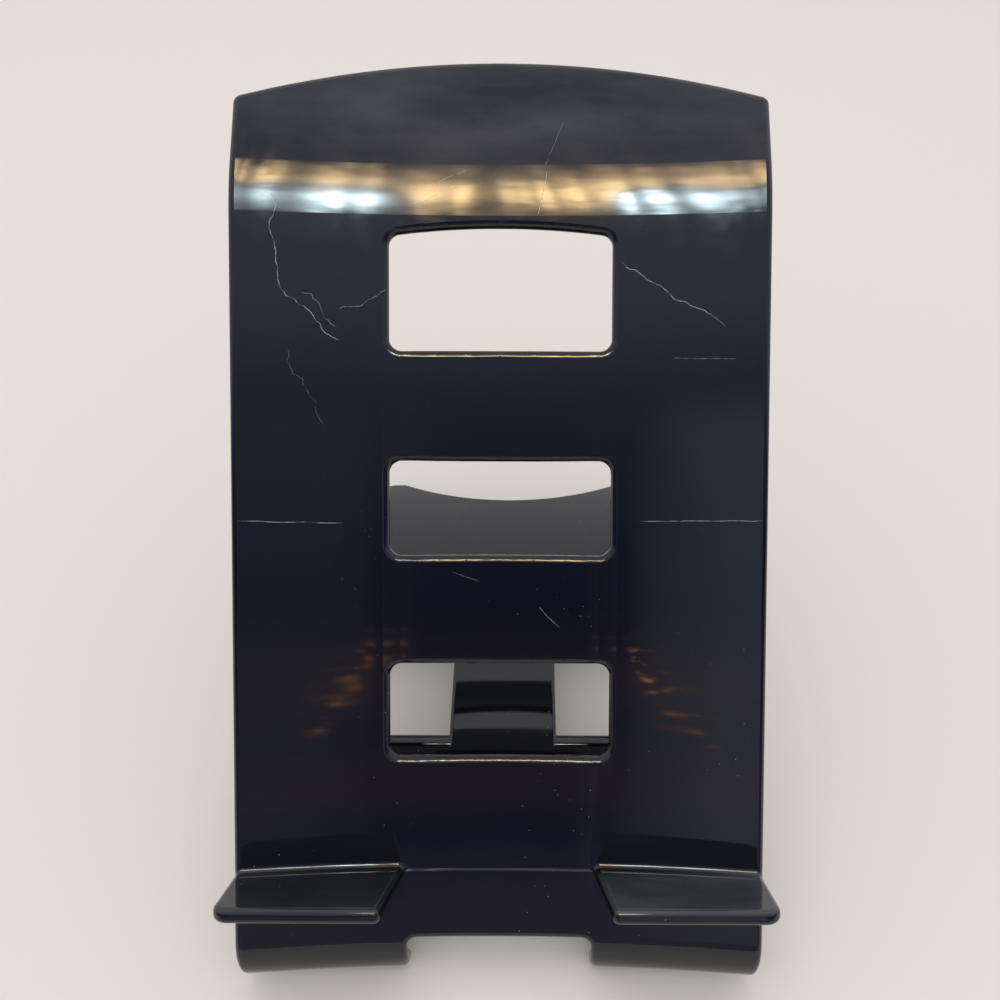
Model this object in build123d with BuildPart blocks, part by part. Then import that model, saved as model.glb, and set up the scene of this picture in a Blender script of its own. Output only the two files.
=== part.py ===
"""Photo album stand: a bowed, leaning panel on two curled toes, held up by a hinged arched rear leg.

X runs to the right, Y to the back and Z up.  The stand rests on Z = 0 and the panel faces -Y.
The panel has its own frame: w runs from its front face to the back, and v runs up along it,
both measured from the line where the album rests on the ledges.
"""

from build123d import *
from math import asin, cos, degrees, radians, sin, sqrt
import os

# ---- driving dimensions, in millimetres and degrees ----
# Panel sheet
panel_width = 150.0
sheet = 4.0
edge_round = 1.8
bow_radius = 526.0
lean = 42.3
top_height = 231.0
top_rise = 13.0
top_corner = 2.6
bend_start = 185.0
bend_radius = 70.0
bend_angle = 12.0
skirt_step = 0.3
skirt_top = -1.4

# Windows in the panel
window_width = 63.7
window_height = 27.9
first_sill = 31.05
window_gap = 30.1
top_window_height = 35.5
top_window_rise = 2.6
window_corner = 3.9
window_draft = 12.0
window_front = -1.0
window_reach = 8.0

# Toes, the two curled feet either side of the notch
curl_radius = 15.0
curl_height = -20.5
curl_angle = 84.0
notch_half = 26.8
notch_height = -21.5
notch_corner = 3.0
toe_margin = 0.4
toe_outer_corner = 5.0
toe_inner_corner = 3.8

# Ledges that carry the album
ledge_front = -26.0
ledge_inner_root = 27.0
ledge_inner_front = 30.5
ledge_inner_corner = 9.0
ledge_outer_corner = 4.5
ledge_round = 1.7
ledge_root_fillet = 1.6

# Hinge between panel and rear leg
pivot_w = 10.0
pivot_v = -12.0
ear_radius = 5.5
ear_width = 4.0
ear_inner_x = 33.0
ear_root_w = 0.5
ear_root_rise = 14.0
barrel_radius = 5.2
barrel_width = 17.4
hinge_gap = 0.3
pin_radius = 2.0
pin_clearance = 0.05
pin_head_radius = 3.4
pin_head = 1.4
pin_tail = 0.8

# Rear leg
leg_slope = 3.5
leg_straight = 64.0
leg_arc_radius = 306.0
leg_arc_angle = 24.0
leg_half = 60.0
arm_start = 8.5
leg_notch_depth = 24.0
crossbar_end = 51.5
leg_edge_round = 1.2
stem_half = 18.0
stem_end = 104.0
shoulder_fillet = 10.0
leg_corner = 9.0
scoop_half = 47.0
scoop_depth = 14.0
lip_radius = 6.5
lip_height = 9.0

# Rubber pads under the leg's shoulders
pad_radius = 4.5
pad_sink = 1.2
pad_gap = 0.02
pad_x = 52.0
pad_from_end = 7.5

half_width = panel_width / 2
lean_sin = sin(radians(lean))
lean_cos = cos(radians(lean))
half_window = window_width / 2
toe_centre_w = curl_radius - skirt_step


def height_on_panel(w, v):
    """Height of a panel point above the ledge line, once the panel leans back."""
    return v * lean_cos - w * lean_sin


# The toes' rounded ends stand on Z = 0, lowest beside the notch where the bow is deepest.
toe_ring = curl_radius - edge_round
toe_end_w = toe_centre_w - toe_ring * cos(radians(curl_angle)) - edge_round * sin(radians(curl_angle))
toe_end_v = curl_height - toe_ring * sin(radians(curl_angle)) + edge_round * cos(radians(curl_angle))
toe_inner_x = notch_half + toe_inner_corner
toe_bow = (toe_inner_x ** 2) / (2 * bow_radius)
ledge_z = edge_round - height_on_panel(toe_end_w - toe_bow, toe_end_v)
ledge_y = -82.0


def on_panel(w, v):
    """Y and Z of a point of the middle section, given in the panel's own w and v."""
    return (ledge_y + w * lean_cos + v * lean_sin, ledge_z + height_on_panel(w, v))


ledge_line = (0, ledge_y, ledge_z)
up_panel = (0, lean_sin, lean_cos)
into_panel = (0, lean_cos, -lean_sin)
out_of_panel = (0, -lean_cos, lean_sin)
side_plane = Plane(origin=ledge_line, x_dir=into_panel, z_dir=(1, 0, 0))
front_plane = Plane(origin=ledge_line, x_dir=(1, 0, 0), z_dir=out_of_panel)
window_plane = Plane(origin=(0, *on_panel(window_front, 0)), x_dir=(-1, 0, 0), z_dir=into_panel)
ledge_plane = Plane(origin=ledge_line, x_dir=(1, 0, 0), z_dir=up_panel)
bow_centre = (0, ledge_y - bow_radius * lean_cos, ledge_z + bow_radius * lean_sin)
bow_axis = Axis(bow_centre, up_panel)
bow_sweep = degrees(asin((half_width + 6) / (bow_radius - 6)))


def bow_edge_plane():
    """The panel's side plane, swung about the bow axis to the far left of the sheet."""
    swing_sin = sin(radians(bow_sweep))
    swing_cos = cos(radians(bow_sweep))
    outward = Vector(-swing_sin, swing_cos * lean_cos, -swing_cos * lean_sin)
    across = Vector(swing_cos, swing_sin * lean_cos, -swing_sin * lean_sin)
    return Plane(origin=Vector(*bow_centre) + outward * bow_radius, x_dir=outward, z_dir=across)


pivot_y, pivot_z = on_panel(pivot_w, pivot_v)


def sharp_edges(part, least_turn=30):
    """Edges where two faces meet at more than least_turn degrees."""
    faces = part.faces()
    found = []
    for edge in part.edges():
        middle = edge.position_at(0.5)
        meeting = [face for face in faces if any(edge.is_same(other) for other in face.edges())]
        if len(meeting) == 2:
            turn = meeting[0].normal_at(middle).get_angle(meeting[1].normal_at(middle))
            if turn > least_turn:
                found.append(edge)
    return ShapeList(found)


def outline_corners(sketch, x, height):
    """The mirrored pair of sketch vertices at the given X and height along the panel."""
    return ShapeList(vertex for vertex in sketch.vertices()
                     if abs(abs(vertex.X) - x) < 0.01 and abs(vertex.Y - height) < 0.01)


# ---- front panel: sheet ----
bend_end_w = bend_radius - bend_radius * cos(radians(bend_angle))
bend_end_v = bend_start + bend_radius * sin(radians(bend_angle))
tip_length = (top_height - bend_end_v) / cos(radians(bend_angle)) + 12
tip = (sin(radians(bend_angle)), cos(radians(bend_angle)))
lower_window = first_sill + window_height / 2
middle_window = lower_window + window_height + window_gap
top_sill = middle_window + window_height / 2 + window_gap
top_head = top_sill + top_window_height

with BuildPart() as panel_sheet:
    with BuildSketch(bow_edge_plane()):
        with BuildLine():
            toe_out = CenterArc((toe_centre_w, curl_height), curl_radius, 180, curl_angle)
            toe_in = CenterArc((toe_centre_w, curl_height), curl_radius - sheet - skirt_step, 180, curl_angle)
            Line(toe_out @ 1, toe_in @ 1)
            Polyline(toe_out @ 0, (-skirt_step, skirt_top), (0, skirt_top + 2 * skirt_step), (0, bend_start))
            Line(toe_in @ 0, (sheet, bend_start))
            bend_front = CenterArc((bend_radius, bend_start), bend_radius, 180, -bend_angle)
            bend_back = CenterArc((bend_radius, bend_start), bend_radius - sheet, 180, -bend_angle)
            front_tip = PolarLine(bend_front @ 1, tip_length, direction=tip)
            back_tip = PolarLine(bend_back @ 1, tip_length, direction=tip)
            Line(front_tip @ 1, back_tip @ 1)
        make_face()
    revolve(axis=bow_axis, revolution_arc=-2 * bow_sweep)
    # Outline seen square to the panel: arched top, straight sides, two toes and the notch between them
    with BuildSketch(front_plane) as outline:
        toe_tip_v = curl_height - curl_radius - toe_margin
        side_top_v = top_height - top_rise
        with BuildLine():
            ThreePointArc((-half_width, side_top_v), (0, top_height), (half_width, side_top_v))
            Polyline((half_width, side_top_v), (half_width, toe_tip_v), (notch_half, toe_tip_v),
                     (notch_half, notch_height), (-notch_half, notch_height), (-notch_half, toe_tip_v),
                     (-half_width, toe_tip_v), (-half_width, side_top_v))
        make_face()
        fillet(outline_corners(outline, half_width, side_top_v), top_corner)
        fillet(outline_corners(outline, notch_half, notch_height), notch_corner)
        fillet(outline_corners(outline, half_width, toe_tip_v), toe_outer_corner)
        fillet(outline_corners(outline, notch_half, toe_tip_v), toe_inner_corner)
    extrude(amount=120, both=True, mode=Mode.INTERSECT)
    # Windows narrow a little towards the back, by the mould's draft
    with BuildSketch(window_plane):
        with Locations((0, lower_window), (0, middle_window)):
            RectangleRounded(window_width, window_height, window_corner)
    extrude(amount=window_reach, taper=window_draft, mode=Mode.SUBTRACT)
    with BuildSketch(window_plane) as top_window:
        with BuildLine():
            head_left = (-half_window, top_head - top_window_rise)
            head_right = (half_window, top_head - top_window_rise)
            ThreePointArc(head_left, (0, top_head), head_right)
            Polyline(head_right, (half_window, top_sill), (-half_window, top_sill), head_left)
        make_face()
        fillet(top_window.vertices(), window_corner)
    extrude(amount=window_reach, taper=window_draft, mode=Mode.SUBTRACT)
    fillet(sharp_edges(panel_sheet.part), edge_round)


# ---- front panel: ledges, hinge ears and the finished moulding ----
def mid_sheet_w(x):
    """Middle of the bowed sheet at a distance x from the centre line, along w."""
    ring = bow_radius + sheet / 2
    return sqrt(ring ** 2 - x ** 2) - bow_radius


ledge_outer = half_width - 0.4
ledge_mid_x = (ledge_inner_root + ledge_outer) / 2

with BuildPart() as ledge:
    with BuildSketch(ledge_plane) as ledge_plan:
        with BuildLine():
            root_inner = (ledge_inner_root, mid_sheet_w(ledge_inner_root))
            root_middle = (ledge_mid_x, mid_sheet_w(ledge_mid_x))
            root_outer = (ledge_outer, mid_sheet_w(ledge_outer))
            ThreePointArc(root_inner, root_middle, root_outer)
            Polyline(root_outer, (ledge_outer, ledge_front), (ledge_inner_front, ledge_front), root_inner)
        make_face()
        front_corners = ledge_plan.vertices().group_by(Axis.Y)[0].sort_by(Axis.X)
        fillet(front_corners.last, ledge_outer_corner)
        fillet(front_corners.first, ledge_inner_corner)
    extrude(amount=-sheet)
    rim = [edge for edge in sharp_edges(ledge.part)
           if side_plane.to_local_coords(edge.position_at(0.5)).X < mid_sheet_w(ledge_outer)]
    fillet(rim, ledge_round)

with BuildPart() as hinge_ear:
    with BuildSketch(side_plane.offset(ear_inner_x)):
        with Locations((pivot_w, pivot_v)):
            Circle(ear_radius)
        with BuildLine():
            Polyline((ear_root_w, pivot_v - ear_radius), (pivot_w, pivot_v - ear_radius),
                     (pivot_w + ear_radius, pivot_v), (ear_root_w, pivot_v + ear_root_rise), close=True)
        make_face()
        with Locations((pivot_w, pivot_v)):
            Circle(pin_radius + pin_clearance, mode=Mode.SUBTRACT)
    extrude(amount=ear_width)

ear_outer_x = ear_inner_x + ear_width + barrel_width + 2 * hinge_gap
with BuildPart() as front_panel:
    add(panel_sheet.part)
    add(ledge.part)
    split(bisect_by=Plane.YZ, keep=Keep.TOP)
    # The album's corner: where the ledge's top meets the panel's face
    ledge_root = [edge for edge in front_panel.edges().filter_by(GeomType.CIRCLE)
                  if edge.length > ledge_outer / 2 and abs(side_plane.to_local_coords(edge @ 0.5).Y) < 0.01]
    fillet(ledge_root, ledge_root_fillet)
    add(hinge_ear.part)
    add(hinge_ear.part.moved(Location((ear_outer_x - ear_inner_x, 0, 0))))
    mirror(about=Plane.YZ)
front_panel.part.label = "front_panel"
os.makedirs("parts", exist_ok=True)
export_step(front_panel.part, "parts/front_panel.step")


# ---- rear leg ----
leg_along = (0, cos(radians(leg_slope)), sin(radians(leg_slope)))
leg_up = (0, -sin(radians(leg_slope)), cos(radians(leg_slope)))
pivot = (0, pivot_y, pivot_z)
leg_side = Plane(origin=pivot, x_dir=leg_along, z_dir=(1, 0, 0))
leg_top = Plane(origin=pivot, x_dir=(1, 0, 0), z_dir=leg_up)
arc_centre = (leg_straight, sheet / 2 - leg_arc_radius)
arc_sine = sin(radians(leg_arc_angle))
leg_end = leg_straight + (leg_arc_radius - sheet / 2) * arc_sine


def leg_band(upper, lower, start):
    """Side profile of the leg between two depths below its top surface, from start to the far end."""
    with BuildSketch(leg_side) as band:
        with BuildLine():
            upper_arc = CenterArc(arc_centre, leg_arc_radius - upper, 90, -leg_arc_angle)
            lower_arc = CenterArc(arc_centre, leg_arc_radius - lower, 90, -leg_arc_angle)
            Line(upper_arc @ 1, lower_arc @ 1)
            Polyline(upper_arc @ 0, (start, sheet / 2 - upper), (start, sheet / 2 - lower), lower_arc @ 0)
        make_face()
    return band.sketch


arm_inner = ear_inner_x + ear_width + hinge_gap
arm_outer = arm_inner + barrel_width
lip_start = crossbar_end - lip_radius
scoop_radius = (scoop_half ** 2 + scoop_depth ** 2) / (2 * scoop_depth)


def along_leg(point):
    """How far back from the pivot a point lies, along the straight part of the leg."""
    return leg_side.to_local_coords(point).X


def off_the_lip(edges):
    """The edges that stay free when the lip and the crossbar are joined."""
    return ShapeList(edge for edge in edges
                     if abs(along_leg(edge @ 0.5) - lip_start) > 0.01 or abs((edge @ 0.5).X) < stem_half)


with BuildPart() as leg_plate:
    extrude(leg_band(0, sheet, 0), amount=leg_half, both=True)
    with BuildSketch(leg_top) as leg_plan:
        with BuildLine():
            Polyline((0, leg_notch_depth), (arm_inner, leg_notch_depth), (arm_inner, 0), (arm_outer, 0),
                     (arm_outer, arm_start), (leg_half + 1, arm_start), (leg_half + 1, lip_start),
                     (stem_half, lip_start), (stem_half, stem_end), (leg_half + 1, stem_end),
                     (leg_half + 1, leg_end + 2), (0, leg_end + 2), close=True)
        make_face()
        mirror(about=Plane.YZ)
        # The far edge is scooped, so that the leg stands on its two shoulders
        with Locations((0, leg_end - scoop_depth + scoop_radius)):
            Circle(scoop_radius, mode=Mode.SUBTRACT)
        notch_ends = [vertex for vertex in leg_plan.vertices() if abs(vertex.Y - leg_notch_depth) < 0.01]
        fillet(notch_ends, leg_corner / 2)
        stem_roots = [vertex for vertex in leg_plan.vertices()
                      if abs(vertex.Y - stem_end) < 0.01 and abs(vertex.X) < stem_half + 1]
        fillet(stem_roots, shoulder_fillet)
    extrude(amount=60, both=True, mode=Mode.INTERSECT)
    side_corners = [edge for edge in leg_plate.edges()
                    if edge.length < 2 * sheet and abs(abs((edge @ 0.5).X) - leg_half) < 0.01]
    fillet([edge for edge in side_corners if along_leg(edge @ 0.5) > leg_end - sheet], leg_corner)
    fillet([edge for edge in side_corners if abs(along_leg(edge @ 0.5) - stem_end) < 0.01], leg_corner / 2)
    fillet([edge for edge in side_corners if abs(along_leg(edge @ 0.5) - arm_start) < 0.01], leg_corner / 3)
    fillet(off_the_lip(sharp_edges(leg_plate.part)), leg_edge_round)

# The rear edge of the crossbar rolls down through a quarter turn
with BuildPart() as crossbar_lip:
    with BuildSketch(leg_side.offset(-leg_half)):
        roll = (lip_start, sheet / 2 - lip_radius)
        lip_foot = sheet / 2 - lip_height
        with BuildLine():
            outer_roll = CenterArc(roll, lip_radius, 90, -90)
            inner_roll = CenterArc(roll, lip_radius - sheet, 90, -90)
            Line(outer_roll @ 0, inner_roll @ 0)
            Polyline(outer_roll @ 1, (crossbar_end, lip_foot), (crossbar_end - sheet, lip_foot), inner_roll @ 1)
        make_face()
    extrude(amount=2 * leg_half)
    fillet(off_the_lip(sharp_edges(crossbar_lip.part)), leg_edge_round)

with BuildPart() as hinge_barrel:
    with BuildSketch(leg_side.offset(arm_inner)):
        Circle(barrel_radius)
    extrude(amount=barrel_width)

# ---- rubber pads, standing upright under the leg's shoulders ----
shoulder_end = leg_side.from_local_coords(Vector(leg_end, arc_centre[1] + leg_arc_radius * cos(radians(leg_arc_angle))))
pad_y = shoulder_end.Y - pad_from_end


def pad_column(radius, foot):
    """Right-hand upright column that ends a little way up inside the leg's underside."""
    with BuildPart() as column:
        with Locations((pad_x, pad_y, foot)):
            Cylinder(radius, pivot_z, align=(Align.CENTER, Align.CENTER, Align.MIN))
        extrude(leg_band(-pivot_z, sheet - pad_sink, 0), amount=leg_half, both=True, mode=Mode.SUBTRACT)
    return column.part


with BuildPart() as rear_leg:
    add(leg_plate.part)
    add(crossbar_lip.part)
    add(hinge_barrel.part)
    mirror(hinge_barrel.part, about=Plane.YZ)
    with BuildSketch(leg_side):
        Circle(pin_radius + pin_clearance)
    extrude(amount=leg_half + 1, both=True, mode=Mode.SUBTRACT)
    recess = pad_column(pad_radius + pad_gap, -1)
    add(recess, mode=Mode.SUBTRACT)
    mirror(recess, about=Plane.YZ, mode=Mode.SUBTRACT)

with BuildPart() as foot_pad:
    add(pad_column(pad_radius, 0))

# ---- hinge pins, pushed in from the outer ears ----
pin_head_x = ear_outer_x + ear_width
with BuildPart() as hinge_pin:
    with BuildSketch(side_plane.offset(ear_inner_x - pin_tail)):
        with Locations((pivot_w, pivot_v)):
            Circle(pin_radius)
    extrude(amount=pin_head_x - ear_inner_x + pin_tail)
    with BuildSketch(side_plane.offset(pin_head_x)):
        with Locations((pivot_w, pivot_v)):
            Circle(pin_head_radius)
    extrude(amount=pin_head)
    fillet(hinge_pin.edges().sort_by(Axis.X).last, pin_head / 2)
    chamfer(hinge_pin.edges().sort_by(Axis.X).first, pin_tail / 2)


def save(part, name):
    """Labels a finished piece and writes it to its own file."""
    part.label = name
    export_step(part, f"parts/{name}.step")


save(rear_leg.part, "rear_leg")
for right_part, name in ((hinge_pin.part, "hinge_pin"), (foot_pad.part, "foot_pad")):
    save(right_part, f"{name}_right")
    save(mirror(right_part, about=Plane.YZ), f"{name}_left")
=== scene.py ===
"""Looks for the photo album stand.

Gloss black plastic with fine scratches and dust, soft room light and a pale table.
"""

from math import cos, radians, sin

import bpy
from mathutils import Matrix, Vector

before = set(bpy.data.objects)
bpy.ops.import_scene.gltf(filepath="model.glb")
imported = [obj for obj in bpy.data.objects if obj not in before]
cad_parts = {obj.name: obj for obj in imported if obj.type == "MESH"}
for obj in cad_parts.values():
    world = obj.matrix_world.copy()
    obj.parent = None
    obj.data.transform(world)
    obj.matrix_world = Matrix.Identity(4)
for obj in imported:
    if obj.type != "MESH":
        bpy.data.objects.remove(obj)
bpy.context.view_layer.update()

# The panel's lean from upright, the line where its ledges start, and its own directions
LEAN = radians(42.3)
LEDGE_LINE = Vector((0, -0.082, 0.0337))
UP_PANEL = Vector((0, sin(LEAN), cos(LEAN)))
OUT_OF_PANEL = Vector((0, -cos(LEAN), sin(LEAN)))

# Colours, as linear red, green and blue
BLACK_PLASTIC = (0.0030, 0.0037, 0.0062, 1)
WORN_PLASTIC = (0.40, 0.42, 0.47, 1)
CLEAN_STEEL = (0.56, 0.56, 0.58, 1)
STAINED_STEEL = (0.36, 0.35, 0.34, 1)
DARK_RUBBER = (0.018, 0.018, 0.019, 1)
GREY_RUBBER = (0.035, 0.034, 0.033, 1)
LINT = (0.35, 0.34, 0.32, 1)
TABLE_DARK = (0.70, 0.665, 0.63, 1)
TABLE_LIGHT = (0.72, 0.685, 0.65, 1)
ROOM_FILL = (1.0, 0.985, 0.97, 1)
ROOM_SEEN = (0.76, 0.73, 0.70, 1)
WARM_LAMP = (40.0, 28.0, 13.5, 1)
COOL_LAMP = (46.0, 58.0, 62.0, 1)
PALE_GLOW = (0.95, 1.0, 1.15, 1)
AMBER_GLOW = (4.2, 1.9, 0.7, 1)

DEGREES_IN_RADIAN = 57.29578
STRING_WIDTH = 0.006
CAMERA_PLACE = (0.00637, -0.18585, 0.28437)
CAMERA_PITCH = radians(44.645)
CAMERA_ROLL = radians(0.2)

# What the plastic mirrors, by degrees over the horizon ahead of the panel: 90 is overhead, 180 the back
MIRRORED_ROOM = (
    (0.0, (0.30, 0.30, 0.45)),
    (15.0, (0.26, 0.22, 0.36)),
    (19.0, (0.07, 0.09, 0.24)),
    (22.0, (0.22, 0.13, 0.20)),
    (25.0, (0.10, 0.09, 0.20)),
    (28.0, (0.19, 0.12, 0.18)),
    (33.0, (0.03, 0.04, 0.15)),
    (46.0, (0.16, 0.22, 0.36)),
    (53.0, (0.55, 0.55, 0.75)),
    (62.0, (0.60, 0.62, 0.85)),
    (86.0, (0.62, 0.62, 0.80)),
    (108.0, (1.05, 1.02, 1.10)),
    (130.0, (0.86, 0.86, 0.90)),
    (180.0, (0.68, 0.68, 0.68)),
)


# ---- shader helpers ----
class Graph:
    """Builds one node tree. Every method returns an output socket."""

    def __init__(self, tree):
        self.tree = tree
        tree.nodes.clear()

    def node(self, kind, **settings):
        made = self.tree.nodes.new(kind)
        for name, value in settings.items():
            setattr(made, name, value)
        return made

    def put(self, socket, value):
        if isinstance(value, bpy.types.NodeSocket):
            self.tree.links.new(value, socket)
        else:
            socket.default_value = value

    def math(self, operation, *values, clamp=False):
        made = self.node("ShaderNodeMath", operation=operation, use_clamp=clamp)
        for socket, value in zip(made.inputs, values):
            self.put(socket, value)
        return made.outputs[0]

    def dot(self, vector, direction):
        made = self.node("ShaderNodeVectorMath", operation="DOT_PRODUCT")
        self.put(made.inputs[0], vector)
        self.put(made.inputs[1], direction)
        return made.outputs["Value"]

    def combine(self, x, y, z):
        made = self.node("ShaderNodeCombineXYZ")
        for socket, value in zip(made.inputs, (x, y, z)):
            self.put(socket, value)
        return made.outputs[0]

    def separate(self, vector):
        made = self.node("ShaderNodeSeparateXYZ")
        self.put(made.inputs[0], vector)
        return made.outputs

    def noise(self, vector, scale, detail=2.0, rough=0.5):
        made = self.node("ShaderNodeTexNoise")
        self.put(made.inputs["Vector"], vector)
        self.put(made.inputs["Scale"], scale)
        self.put(made.inputs["Detail"], detail)
        self.put(made.inputs["Roughness"], rough)
        return made.outputs["Fac"]

    def cells(self, vector, scale):
        """Distance to the nearest of many scattered points."""
        made = self.node("ShaderNodeTexVoronoi")
        self.put(made.inputs["Vector"], vector)
        self.put(made.inputs["Scale"], scale)
        return made.outputs["Distance"]

    def remap(self, value, low, high, to_low=0.0, to_high=1.0, smooth=False):
        made = self.node("ShaderNodeMapRange", interpolation_type="SMOOTHSTEP" if smooth else "LINEAR")
        for socket, number in zip(made.inputs, (value, low, high, to_low, to_high)):
            self.put(socket, number)
        return made.outputs[0]

    def mix(self, factor, first, second, blend="MIX"):
        made = self.node("ShaderNodeMix", data_type="RGBA", blend_type=blend)
        self.put(made.inputs[0], factor)
        self.put(made.inputs[6], first)
        self.put(made.inputs[7], second)
        return made.outputs[2]

    def bump(self, height, strength, distance):
        made = self.node("ShaderNodeBump")
        self.put(made.inputs["Strength"], strength)
        self.put(made.inputs["Distance"], distance)
        self.put(made.inputs["Height"], height)
        return made.outputs[0]


def material(name):
    made = bpy.data.materials.new(name)
    made.use_nodes = True
    graph = Graph(made.node_tree)
    shader = graph.node("ShaderNodeBsdfPrincipled")
    output = graph.node("ShaderNodeOutputMaterial")
    graph.put(output.inputs["Surface"], shader.outputs[0])
    return made, graph, shader.inputs


def object_point(graph):
    return graph.node("ShaderNodeTexCoord").outputs["Object"]


# ---- gloss black plastic ----
# Hairline scratches on the panel: both ends as metres across and up it, how far they wander to
# the sides, half width and strength
HAIRLINES = (
    ((-0.0640, 0.1900), (-0.0605, 0.1630), 0.0030, 0.00013, 0.60),
    ((-0.0605, 0.1640), (-0.0450, 0.1495), 0.0042, 0.00013, 0.62),
    ((-0.0555, 0.1630), (-0.0450, 0.1540), 0.0050, 0.00012, 0.60),
    ((-0.0455, 0.1580), (-0.0315, 0.1640), 0.0030, 0.00010, 0.50),
    ((-0.0600, 0.1480), (-0.0500, 0.1250), 0.0050, 0.00009, 0.35),
    ((0.0335, 0.1725), (0.0630, 0.1535), 0.0022, 0.00013, 0.60),
    ((0.0480, 0.1453), (0.0655, 0.1450), 0.0002, 0.00010, 0.45),
    ((-0.0730, 0.0995), (-0.0440, 0.0988), 0.0006, 0.00016, 0.50),
    ((0.0390, 0.0996), (0.0735, 0.1002), 0.0005, 0.00014, 0.50),
    ((0.0105, 0.1850), (0.0130, 0.1980), 0.0008, 0.00012, 0.55),
    ((0.0125, 0.1990), (0.0175, 0.2130), 0.0008, 0.00008, 0.40),
    ((-0.0180, 0.1930), (-0.0100, 0.1990), 0.0030, 0.00012, 0.50),
    ((-0.0250, 0.1880), (-0.0120, 0.1930), 0.0030, 0.00010, 0.45),
    ((-0.0138, 0.0850), (-0.0055, 0.0820), 0.0006, 0.00009, 0.40),
    ((0.0110, 0.0750), (0.0170, 0.0690), 0.0010, 0.00010, 0.50),
)


def hairline(graph, across, up, start, end, wander, half_width, strength):
    """A single scratch that wanders either side of a straight line between two points of the panel."""
    run_x, run_y = end[0] - start[0], end[1] - start[1]
    length = (run_x ** 2 + run_y ** 2) ** 0.5
    run_x, run_y = run_x / length, run_y / length
    flat = graph.combine(across, up, 0.0)
    along = graph.math("SUBTRACT", graph.dot(flat, (run_x, run_y, 0)), run_x * start[0] + run_y * start[1])
    aside = graph.math("SUBTRACT", graph.dot(flat, (-run_y, run_x, 0)), run_x * start[1] - run_y * start[0])
    line_point = graph.combine(along, start[0] * 40, start[1] * 40)
    sway = graph.math("SUBTRACT", graph.noise(line_point, 90.0, 3.0, 0.55), 0.5)
    off_line = graph.math("ABSOLUTE", graph.math("MULTIPLY_ADD", sway, wander * 2.4, aside))
    core = graph.remap(off_line, half_width, half_width * 0.35, smooth=True)
    near_ends = graph.math("MULTIPLY", graph.remap(along, 0, length * 0.08),
                           graph.remap(along, length, length * 0.92))
    broken = graph.remap(graph.noise(line_point, 420.0), 0.36, 0.58, 0.15, 1.0)
    return graph.math("MULTIPLY", graph.math("MULTIPLY", core, near_ends),
                      graph.math("MULTIPLY", broken, strength))


def strongest(graph, values):
    """Largest of several values at each point."""
    top = values[0]
    for value in values[1:]:
        top = graph.math("MAXIMUM", top, value)
    return top


def plastic(name, scratches, seed):
    """Polished black moulding with wipe marks in its gloss, specks of dust and a faint ripple.

    The scratches, a rubbed bend and dusty ledges are for the panel only. The seed moves the smears.
    """
    made, graph, inputs = material(name)
    point = object_point(graph)
    across, depth, height = graph.separate(point)
    up = graph.dot(point, tuple(UP_PANEL))
    up = graph.math("SUBTRACT", up, LEDGE_LINE.dot(UP_PANEL))

    # Soft cloudy smears, stretched across the object as if wiped
    wiped = graph.combine(graph.math("MULTIPLY", across, 0.35), graph.math("ADD", depth, seed), height)
    smear = graph.noise(wiped, 60.0, 4.0, 0.6)
    cloud = graph.noise(point, 18.0, 2.0)

    # Fine swirl scratches, only just visible in the reflections
    swirl = graph.noise(graph.combine(graph.math("MULTIPLY", across, 9.0), depth, height), 300.0, 5.0, 0.7)
    fine = graph.remap(swirl, 0.62, 0.72)

    specks = graph.remap(graph.cells(point, 400.0), 0.08, 0.05)
    speck_zone = graph.remap(graph.noise(point, 38.0, 1.0), 0.52, 0.66)
    low_zone = graph.remap(height, 0.11, 0.035, 0.12, 1.0)
    dust = graph.math("MULTIPLY", graph.math("MULTIPLY", specks, speck_zone), low_zone)

    marks = [graph.math("MULTIPLY", dust, 0.55)]
    if scratches:
        # Only the front face is scratched: its normal faces out of the panel
        normal = graph.node("ShaderNodeTexCoord").outputs["Normal"]
        front_face = graph.remap(graph.dot(normal, tuple(OUT_OF_PANEL)), 0.3, 0.6)
        lines = strongest(graph, [hairline(graph, across, up, *line) for line in HAIRLINES])
        marks.append(graph.math("MULTIPLY", lines, front_face))
        # Light rubbed haze over the bend at the panel's top
        rub = graph.math("MULTIPLY", graph.remap(up, 0.185, 0.215, smooth=True),
                         graph.remap(smear, 0.35, 0.68))
        marks.append(graph.math("MULTIPLY", rub, 0.07))
        # A film of dust on top of the ledges, heavier on the right one
        out_front = graph.dot(point, tuple(OUT_OF_PANEL))
        out_front = graph.math("SUBTRACT", out_front, LEDGE_LINE.dot(OUT_OF_PANEL))
        film = graph.math("MULTIPLY", graph.remap(out_front, 0.003, 0.007),
                          graph.remap(smear, 0.3, 0.7, 0.4, 1.3))
        upward = graph.remap(graph.dot(normal, tuple(UP_PANEL)), 0.3, 0.8)
        film = graph.math("MULTIPLY", film, graph.math("MULTIPLY", upward, graph.remap(up, 0.03, 0.02)))
        marks.append(graph.math("MULTIPLY", film, graph.remap(across, -0.03, 0.03, 0.045, 0.11)))
    worn = strongest(graph, marks)

    graph.put(inputs["Base Color"], graph.mix(worn, BLACK_PLASTIC, WORN_PLASTIC))
    gloss = graph.math("ADD", graph.remap(smear, 0.35, 0.75, 0.02, 0.065),
                       graph.remap(cloud, 0.3, 0.7, 0.0, 0.012))
    gloss = graph.math("ADD", gloss, graph.math("MULTIPLY", fine, 0.04))
    graph.put(inputs["Roughness"], graph.math("ADD", gloss, graph.math("MULTIPLY", worn, 0.5)))
    graph.put(inputs["IOR"], 1.52)
    ripple = graph.noise(point, 26.0, 1.0)
    graph.put(inputs["Normal"], graph.bump(ripple, 0.25, 0.0004))
    return made


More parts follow.
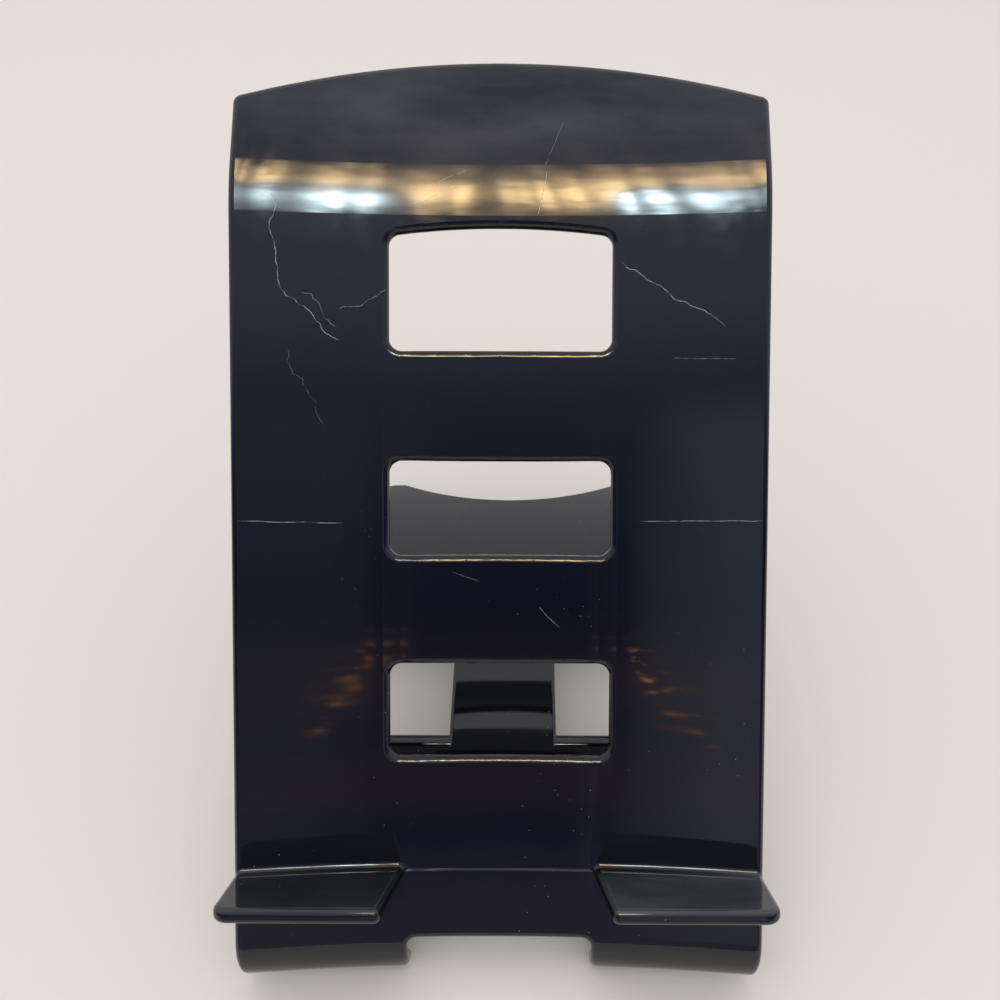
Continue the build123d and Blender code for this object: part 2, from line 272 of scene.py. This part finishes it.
# ---- turned steel ----
def steel():
    made, graph, inputs = material("turned_steel")
    point = object_point(graph)
    along_pin = graph.math("MULTIPLY", graph.separate(point)[0], 14.0)
    rings = graph.noise(graph.combine(along_pin, 0.0, 0.0), 500.0, 3.0)
    stain = graph.noise(point, 240.0, 4.0, 0.6)
    graph.put(inputs["Base Color"], graph.mix(graph.remap(stain, 0.4, 0.75), CLEAN_STEEL, STAINED_STEEL))
    graph.put(inputs["Metallic"], 1.0)
    graph.put(inputs["Roughness"], graph.remap(rings, 0.3, 0.7, 0.22, 0.42))
    graph.put(inputs["Normal"], graph.bump(rings, 0.3, 0.00005))
    return made


# ---- rubber ----
def rubber():
    made, graph, inputs = material("pad_rubber")
    point = object_point(graph)
    grain = graph.noise(point, 1800.0, 3.0, 0.6)
    lint = graph.remap(graph.cells(point, 900.0), 0.12, 0.06)
    tone = graph.mix(graph.noise(point, 200.0), DARK_RUBBER, GREY_RUBBER)
    graph.put(inputs["Base Color"], graph.mix(graph.math("MULTIPLY", lint, 0.25), tone, LINT))
    graph.put(inputs["Roughness"], graph.remap(grain, 0.3, 0.7, 0.62, 0.85))
    graph.put(inputs["Normal"], graph.bump(grain, 0.4, 0.00008))
    return made


looks = {
    "front_panel": plastic("gloss_black_panel", True, 0.0),
    "rear_leg": plastic("gloss_black_leg", False, 0.7),
    "hinge_pin": steel(),
    "foot_pad": rubber(),
}
for node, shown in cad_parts.items():
    look = next(look for prefix, look in looks.items() if node.startswith(prefix))
    shown.data.materials.clear()
    shown.data.materials.append(look)
    for face in shown.data.polygons:
        face.use_smooth = True


# ---- table and light ----
def table_top():
    """Plain pale table, a little mottled."""
    bpy.ops.mesh.primitive_plane_add(size=8.0, location=(0, 0, 0))
    table = bpy.context.object
    table.name = "table_top"
    made, graph, inputs = material("pale_table")
    tone = graph.noise(object_point(graph), 1.5, 2.0)
    graph.put(inputs["Base Color"], graph.mix(tone, TABLE_DARK, TABLE_LIGHT))
    graph.put(inputs["Roughness"], 0.6)
    graph.put(inputs["Specular IOR Level"], 0.25)
    table.data.materials.append(made)


def glow(graph, value, centre, spread):
    """Bell-shaped weight that is one at the centre and small a spread away."""
    off = graph.math("DIVIDE", graph.math("SUBTRACT", value, centre), spread)
    return graph.math("EXPONENT", graph.math("MULTIPLY", graph.math("MULTIPLY", off, off), -1.0))


def room():
    """Room light: an even pale fill, and a fuller room for the plastic to mirror.

    The mirrored room is dim ahead of the panel, with brownish streaks low down and a lit ceiling.
    """
    world = bpy.data.worlds.new("room")
    bpy.context.scene.world = world
    world.use_nodes = True
    graph = Graph(world.node_tree)
    _, back, up = graph.separate(graph.node("ShaderNodeTexCoord").outputs["Generated"])
    turn = graph.math("ARCTAN2", up, graph.math("MULTIPLY", back, -1.0))
    turn = graph.math("MULTIPLY", turn, DEGREES_IN_RADIAN)
    ramp = graph.node("ShaderNodeValToRGB")
    graph.put(ramp.inputs[0], graph.remap(turn, 0.0, 180.0))
    points = ramp.color_ramp.elements
    while len(points) < len(MIRRORED_ROOM):
        points.new(0.5)
    for element, (angle, tone) in zip(points, MIRRORED_ROOM):
        element.position = angle / 180.0
        element.color = (*tone, 1)
    mirrored = ramp.outputs[0]
    ray = graph.node("ShaderNodeLightPath").outputs
    lit = graph.mix(ray["Is Glossy Ray"], ROOM_FILL, mirrored)
    seen = graph.mix(ray["Is Camera Ray"], lit, ROOM_SEEN)
    background = graph.node("ShaderNodeBackground")
    graph.put(background.inputs["Color"], seen)
    graph.put(background.inputs["Strength"], 1.0)
    graph.put(graph.node("ShaderNodeOutputWorld").inputs["Surface"], background.outputs[0])


def mirror_board(name, place, size, tilt):
    """Board that only the plastic's gloss can see, measured in metres from its centre."""
    bpy.ops.mesh.primitive_plane_add(size=1.0, location=place, rotation=(tilt, 0, 0))
    board = bpy.context.object
    board.name = name
    for vertex in board.data.vertices:
        vertex.co.x *= size[0]
        vertex.co.y *= size[1]
    board.visible_camera = board.visible_diffuse = board.visible_shadow = False
    made = bpy.data.materials.new(name)
    made.use_nodes = True
    graph = Graph(made.node_tree)
    board.data.materials.append(made)
    across, up, _ = graph.separate(object_point(graph))
    return graph, across, up


def light_board(graph, colour, cover):
    """Emission where the cover is one, clear where it is nought."""
    lamp = graph.node("ShaderNodeEmission")
    graph.put(lamp.inputs["Color"], colour)
    graph.put(lamp.inputs["Strength"], 1.0)
    clear = graph.node("ShaderNodeBsdfTransparent")
    blend = graph.node("ShaderNodeMixShader")
    for socket, value in zip(blend.inputs, (cover, clear.outputs[0], lamp.outputs[0])):
        graph.put(socket, value)
    graph.put(graph.node("ShaderNodeOutputMaterial").inputs["Surface"], blend.outputs[0])


def ceiling_lamps():
    """Row of lamps over the stand that the panel's bend mirrors as a band.

    The band is warm in the middle. To the sides it's a thin warm line with a cool daylight one under it.
    """
    graph, across, along = mirror_board("ceiling_lamps", (-0.015, -0.13, 0.80), (0.30, 0.60), 0.0)
    ragged = graph.noise(graph.combine(across, graph.math("MULTIPLY", along, 0.25), 0.0), 75.0, 4.0, 0.7)
    shaft = graph.noise(graph.combine(across, 0.4, 0.0), 90.0, 2.0, 0.5)
    shaft = graph.remap(shaft, 0.38, 0.58, 0.12, 1.0, smooth=True)
    # Nought at the middle, where the window's head cuts into the band, and one at the sides
    wing = graph.remap(graph.math("ABSOLUTE", across), 0.032, 0.044, smooth=True)
    sway = graph.math("MULTIPLY", graph.math("SUBTRACT", ragged, 0.5), 0.20)
    place = graph.math("ADD", along, sway)
    warm = graph.math("MULTIPLY", glow(graph, place, graph.remap(wing, 0.0, 1.0, -0.060, 0.01),
                                       graph.remap(wing, 0.0, 1.0, 0.085, 0.050)),
                      graph.remap(wing, 0.0, 1.0, 0.8, 0.55))
    by_window = glow(graph, graph.math("ABSOLUTE", across), 0.056, 0.022)
    cool = graph.math("MULTIPLY", graph.math("MULTIPLY", wing, glow(graph, place, -0.105, 0.062)),
                      graph.math("MULTIPLY_ADD", by_window, 0.8, 0.2))
    warm = graph.math("MULTIPLY", warm, shaft)
    cool = graph.math("MULTIPLY", cool, shaft)
    both = graph.math("ADD", graph.math("ADD", warm, cool), 0.001)
    colour = graph.mix(graph.math("DIVIDE", cool, both), WARM_LAMP, COOL_LAMP)
    light_board(graph, colour, graph.math("MAXIMUM", warm, cool))


def room_glow():
    """Lighter side of the room on the right, and two faint strings of warm spots.

    The panel mirrors the strings low down, one each side of its lowest window.
    """
    graph, across, up = mirror_board("room_glow", (0.0, -0.75, 0.55), (0.60, 0.90), radians(90))
    # The sheen fades out at the board's top and bottom edges
    inside = graph.remap(graph.math("ABSOLUTE", up), 0.45, 0.30, smooth=True)
    right_side = graph.remap(across, 0.008, 0.060, 0.0, 0.42, smooth=True)
    left_side = graph.remap(across, -0.045, -0.085, 0.0, 0.13, smooth=True)
    sheen = graph.math("MULTIPLY", graph.math("MAXIMUM", right_side, left_side), inside)
    # Each string leans in towards the window as it rises
    spots = graph.remap(graph.noise(graph.combine(across, up, 0.2), 120.0, 2.0), 0.52, 0.68, smooth=True)
    left_line = graph.math("MULTIPLY_ADD", up, -0.156, graph.math("ADD", across, 0.0557))
    right_line = graph.math("MULTIPLY_ADD", up, 0.18, graph.math("SUBTRACT", across, 0.0158))
    strings = graph.math("MAXIMUM", glow(graph, left_line, 0.0, STRING_WIDTH),
                         glow(graph, right_line, 0.0, STRING_WIDTH))
    strings = graph.math("MULTIPLY", graph.math("MULTIPLY", strings, spots), glow(graph, up, -0.095, 0.055))
    amber = graph.math("MINIMUM", graph.math("MULTIPLY", strings, 4.0), 1.0)
    light_board(graph, graph.mix(amber, PALE_GLOW, AMBER_GLOW), graph.math("MAXIMUM", sheen, strings))


def soft_light(name, place, aim, size, power, tone):
    """Round lamp that lights and shades but isn't mirrored."""
    lamp = bpy.data.lights.new(name, "AREA")
    lamp.shape = "DISK"
    lamp.size = size
    lamp.energy = power
    lamp.color = tone
    shown = bpy.data.objects.new(name, lamp)
    shown.location = place
    shown.rotation_euler = (Vector(aim) - Vector(place)).to_track_quat("-Z", "Y").to_euler()
    shown.visible_glossy = False
    bpy.context.collection.objects.link(shown)


def camera():
    """Camera in front of and above the stand, looking down at the panel nearly square on."""
    lens = bpy.data.cameras.new("camera")
    lens.sensor_width = 36.0
    lens.lens = 31.21
    lens.shift_x = -0.0225
    lens.clip_start = 0.01
    shown = bpy.data.objects.new("camera", lens)
    ahead = Vector((0, cos(CAMERA_PITCH), -sin(CAMERA_PITCH)))
    across = Vector((1, 0, 0))
    above = across.cross(ahead)
    right = cos(CAMERA_ROLL) * across + sin(CAMERA_ROLL) * above
    up = cos(CAMERA_ROLL) * above - sin(CAMERA_ROLL) * across
    turn = Matrix((right, up, -ahead)).transposed().to_4x4()
    shown.matrix_world = Matrix.Translation(CAMERA_PLACE) @ turn
    bpy.context.collection.objects.link(shown)
    bpy.context.scene.camera = shown


table_top()
room()
ceiling_lamps()
room_glow()
soft_light("ceiling_light", (-0.2, 0.2, 1.9), (0, 0, 0.05), 1.2, 5.0, (1.0, 0.98, 0.95))
camera()
bpy.context.scene.view_settings.view_transform = "Standard"
